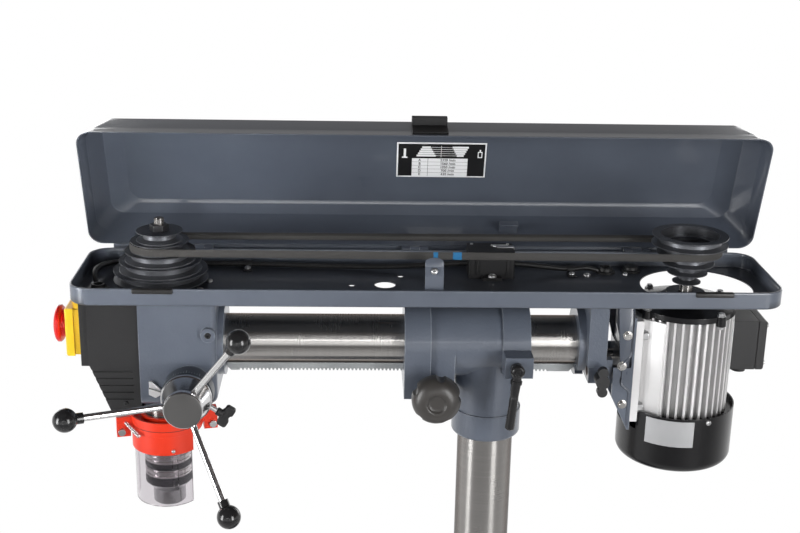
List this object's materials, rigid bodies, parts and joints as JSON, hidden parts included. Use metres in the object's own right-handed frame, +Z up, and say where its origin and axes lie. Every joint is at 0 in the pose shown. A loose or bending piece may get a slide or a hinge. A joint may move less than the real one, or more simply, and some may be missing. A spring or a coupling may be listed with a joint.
{
  "type": "bench radial drill press",
  "caption": "Bench radial drill for boring out knots: a head on a sliding, tilting round ram over a column stand, with a belt drive under a hinged lid and a motor at the rear end.",
  "frame": {"origin": "column axis at the underside of the base", "axes": "+X along the ram towards the motor, +Y away from the operator, +Z up along the column"},
  "size_m": [0.8824, 0.334, 0.9663],
  "materials": {
    "cast_paint": "slate grey paint on cast iron, semi-gloss",
    "slate_paint": "slate grey paint on cast iron, semi-gloss",
    "sheet_paint": "slate grey powder coat on pressed sheet",
    "ground_steel": "ground and lightly oiled",
    "zinc_steel": "zinc plated",
    "chromed_steel": "polished chrome plate",
    "blued_steel": "blued, ground",
    "black_plastic": "fine moulded texture",
    "gloss_black": "polished",
    "yellow_plastic": "smooth moulding",
    "red_plastic": "smooth moulding",
    "clear_plastic": "clear moulded plastic",
    "black_rubber": "matt rubber",
    "pulley_alloy": "slate paint, bare turned grooves",
    "motor_alloy": "bare finned extrusion",
    "stator_iron": "laminated iron and windings",
    "black_alloy": "gloss black enamel",
    "black_enamel": "gloss black enamel"
  },
  "bodies": {
    "stand": {"base": "cast_paint", "column_flange": "cast_paint", "column": "ground_steel", "column_flange_bolts": "zinc_steel"},
    "swivel": {"ram_housing": "slate_paint"},
    "ram_lock": {"ram_lock_lever": "black_plastic"},
    "swivel_lock": {"swivel_lock_lever": "black_plastic"},
    "ram_knob": {"ram_pinion_shaft": "ground_steel", "ram_feed_knob": "black_plastic"},
    "rack": {"ram_rack": "zinc_steel"},
    "arm": {"ram_tube": "ground_steel", "head_casting": "slate_paint", "head_side_cover": "black_plastic", "switch_box": "yellow_plastic", "depth_pointer": "slate_paint", "return_spring_cap": "slate_paint", "belt_tray": "sheet_paint", "lid_hinge_pins": "zinc_steel", "interlock_switch": "black_plastic", "tray_cables": "black_rubber", "v_belt": "black_rubber", "rear_support": "slate_paint", "pulley_bearing": "ground_steel"},
    "flap": {"switch_flap": "yellow_plastic"},
    "stop_button": {"emergency_stop_button": "red_plastic"},
    "rocker": {"rocker_switch": "black_plastic"},
    "lid": {"belt_lid": "sheet_paint", "lid_handle": "black_plastic"},
    "drive_pulley": {"spindle_pulley": "pulley_alloy", "spindle_pulley_nut": "zinc_steel"},
    "quill": {"quill": "ground_steel", "spindle_bearings": "ground_steel", "guard_collar": "red_plastic", "guard_bolts": "zinc_steel"},
    "guard": {"guard_band": "red_plastic", "guard_visor": "clear_plastic"},
    "spindle": {"spindle": "ground_steel", "chuck_body": "blued_steel"},
    "sleeve": {"chuck_sleeve": "blued_steel"},
    "jaw_1": {"chuck_jaw_1": "ground_steel"},
    "jaw_2": {"chuck_jaw_2": "ground_steel"},
    "jaw_3": {"chuck_jaw_3": "ground_steel"},
    "feed": {"feed_shaft": "ground_steel", "feed_hub": "chromed_steel", "feed_rods": "chromed_steel", "feed_ball_knobs": "gloss_black"},
    "depth": {"depth_ring": "slate_paint"},
    "depth_lock": {"depth_lock_screw": "black_plastic"},
    "motor": {"motor_slide_rods": "ground_steel", "motor_bracket": "black_enamel", "motor_plate": "zinc_steel", "motor_housing": "motor_alloy", "motor_stator": "stator_iron", "motor_end_shields": "black_alloy", "motor_fan_cover": "black_enamel", "terminal_box": "black_plastic", "motor_bolts": "zinc_steel"},
    "slide_lock": {"slide_lock_screw": "black_plastic"},
    "rotor": {"motor_rotor": "ground_steel", "motor_pulley": "pulley_alloy"}
  },
  "joints": [
    {"name": "arm_swivel", "type": "hinge", "parent": "stand", "child": "swivel", "pos_m": [0, 0, 0.6], "axis": [0, 0, 1], "range_deg": [-180, 180]},
    {"name": "ram_lock_turn", "type": "hinge", "parent": "swivel", "child": "ram_lock", "pos_m": [0.027, 0, 0.691], "axis": [0, -1, 0], "range_deg": [-30, 20]},
    {"name": "swivel_lock_turn", "type": "hinge", "parent": "swivel", "child": "swivel_lock", "pos_m": [0, 0.05575, 0.594], "axis": [1, 0, 0], "range_deg": [-8, 70]},
    {"name": "ram_slide", "type": "slide", "parent": "swivel", "child": "rack", "axis": [1, 0, 0], "range_m": [-0.056, 0.2]},
    {"name": "ram_knob_turn", "type": "hinge", "parent": "swivel", "child": "ram_knob", "pos_m": [-0.069, 0, 0.65145], "axis": [0, 1, 0], "range_deg": [-357, 1274]},
    {"name": "head_tilt", "type": "hinge", "parent": "rack", "child": "arm", "pos_m": [0, 0, 0.7], "axis": [1, 0, 0], "range_deg": [-45, 45]},
    {"name": "quill_feed", "type": "slide", "parent": "arm", "child": "quill", "axis": [0, 0, -1], "range_m": [0, 0.08], "stiffness_N_per_m": 320, "springref_m": -0.16},
    {"name": "feed_turn", "type": "hinge", "parent": "arm", "child": "feed", "pos_m": [-0.3674, 0, 0.656], "axis": [0, -1, 0], "range_deg": [0, 328]},
    {"name": "depth_ring_turn", "type": "hinge", "parent": "feed", "child": "depth", "pos_m": [-0.3674, 0, 0.656], "axis": [0, -1, 0], "range_deg": [-170, 170]},
    {"name": "depth_lock_turn", "type": "hinge", "parent": "depth", "child": "depth_lock", "pos_m": [-0.3674, -0.0745, 0.656], "axis": [0.8387, 0, -0.5446], "range_deg": [-180, 180]},
    {"name": "spindle_spin", "type": "hinge", "parent": "quill", "child": "spindle", "pos_m": [-0.405, 0, 0.7], "axis": [0, 0, 1], "continuous": true},
    {"name": "chuck_sleeve_turn", "type": "hinge", "parent": "spindle", "child": "sleeve", "pos_m": [-0.405, 0, 0.51], "axis": [0, 0, 1], "range_deg": [0, 360]},
    {"name": "jaw_1_slide", "type": "slide", "parent": "spindle", "child": "jaw_1", "axis": [0.1219, 0, 0.9925], "range_m": [0, 0.01], "stiffness_N_per_m": 1, "springref_m": 0.197},
    {"name": "jaw_2_slide", "type": "slide", "parent": "spindle", "child": "jaw_2", "axis": [-0.0609, 0.1055, 0.9925], "range_m": [0, 0.01], "stiffness_N_per_m": 1, "springref_m": 0.197},
    {"name": "jaw_3_slide", "type": "slide", "parent": "spindle", "child": "jaw_3", "axis": [-0.0609, -0.1055, 0.9925], "range_m": [0, 0.01], "stiffness_N_per_m": 1, "springref_m": 0.197},
    {"name": "guard_turn", "type": "hinge", "parent": "quill", "child": "guard", "pos_m": [-0.405, 0, 0.58], "axis": [0, 0, 1], "range_deg": [-100, 100]},
    {"name": "pulley_spin", "type": "hinge", "parent": "arm", "child": "drive_pulley", "pos_m": [-0.405, 0, 0.8], "axis": [0, 0, 1], "continuous": true},
    {"name": "lid_close", "type": "hinge", "parent": "arm", "child": "lid", "pos_m": [0, 0.0849, 0.79], "axis": [1, 0, 0], "range_deg": [0, 72]},
    {"name": "flap_open", "type": "hinge", "parent": "arm", "child": "flap", "pos_m": [-0.505, 0, 0.751], "axis": [0, 1, 0], "range_deg": [0, 80]},
    {"name": "stop_press", "type": "slide", "parent": "flap", "child": "stop_button", "axis": [1, 0, 0], "range_m": [0, 0.003], "stiffness_N_per_m": 1500, "springref_m": -0.002},
    {"name": "rocker_rock", "type": "hinge", "parent": "arm", "child": "rocker", "pos_m": [-0.505, 0, 0.717], "axis": [0, 1, 0], "range_deg": [-6, 6]},
    {"name": "motor_tension", "type": "slide", "parent": "arm", "child": "motor", "axis": [1, 0, 0], "range_m": [-0.01, 0], "deforming": ["v_belt"]},
    {"name": "slide_lock_turn", "type": "hinge", "parent": "arm", "child": "slide_lock", "pos_m": [0.134, 0, 0.669], "axis": [0, -1, 0], "range_deg": [-180, 180]},
    {"name": "motor_spin", "type": "hinge", "parent": "motor", "child": "rotor", "pos_m": [0.243, 0, 0.7], "axis": [0, 0, 1], "continuous": true}
  ],
  "couplings": [
    {"joint": "ram_knob_turn", "follows": "ram_slide", "rad_per_m": 111.11},
    {"joint": "feed_turn", "follows": "quill_feed", "rad_per_m": 71.429},
    {"joint": "pulley_spin", "follows": "motor_spin", "ratio": 1.1135},
    {"joint": "spindle_spin", "follows": "motor_spin", "ratio": 1.1135},
    {"joint": "jaw_1_slide", "follows": "chuck_sleeve_turn", "m_per_rad": 0.0015915},
    {"joint": "jaw_2_slide", "follows": "chuck_sleeve_turn", "m_per_rad": 0.0015915},
    {"joint": "jaw_3_slide", "follows": "chuck_sleeve_turn", "m_per_rad": 0.0015915}
  ]
}
